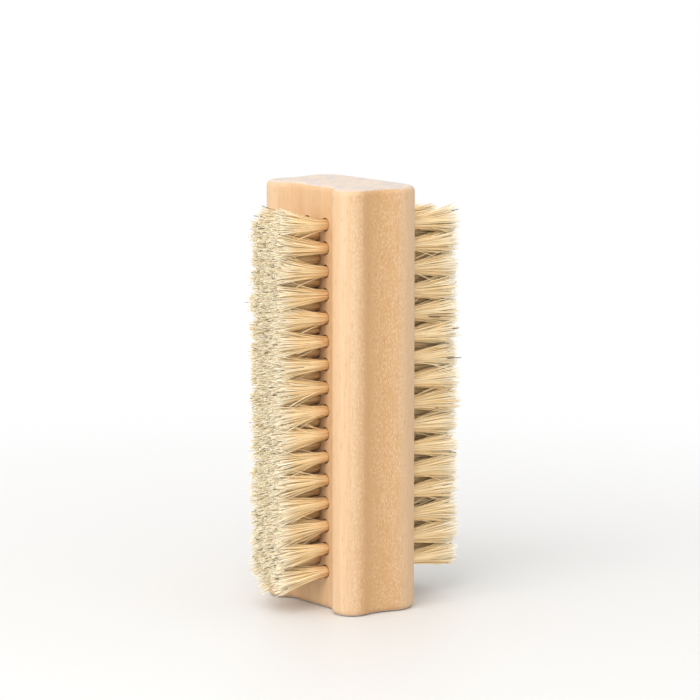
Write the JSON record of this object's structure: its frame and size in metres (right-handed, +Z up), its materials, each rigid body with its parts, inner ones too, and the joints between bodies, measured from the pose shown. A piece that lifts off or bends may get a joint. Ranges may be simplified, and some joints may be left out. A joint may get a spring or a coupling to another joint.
{
  "type": "nail brush",
  "caption": "Double-sided wooden nail brush: grooved hand-sized block with staggered natural bristle tufts in a channel on one face and on a wide flat bed on the other.",
  "frame": {"origin": "centre of the bottom end face of the block, on which the brush stands", "axes": "+Z up the length of the block, -X out of the narrow bristle face in its channel, +X out of the wide bristle face, Y across the grip sides"},
  "size_m": [0.0461, 0.0346, 0.095],
  "materials": {
    "beech_wood": "bare sanded beech, matte, fine straight grain along the length",
    "bristle": "natural cream bristle, slightly glossy, trimmed level",
    "anchor_wire": "flat galvanised wire, hidden in the holes"
  },
  "bodies": {
    "root": {"wood_block": "beech_wood", "narrow_tufts_row_1": "bristle", "narrow_tufts_row_2": "bristle", "narrow_tufts_row_3": "bristle", "narrow_tufts_row_4": "bristle", "wide_tufts_row_1": "bristle", "wide_tufts_row_2": "bristle", "wide_tufts_row_3": "bristle", "wide_tufts_row_4": "bristle", "wide_tufts_row_5": "bristle", "wide_tufts_row_6": "bristle", "narrow_anchors_row_1": "anchor_wire", "narrow_anchors_row_2": "anchor_wire", "narrow_anchors_row_3": "anchor_wire", "narrow_anchors_row_4": "anchor_wire", "wide_anchors_row_1": "anchor_wire", "wide_anchors_row_2": "anchor_wire", "wide_anchors_row_3": "anchor_wire", "wide_anchors_row_4": "anchor_wire", "wide_anchors_row_5": "anchor_wire", "wide_anchors_row_6": "anchor_wire"}
  },
  "joints": []
}
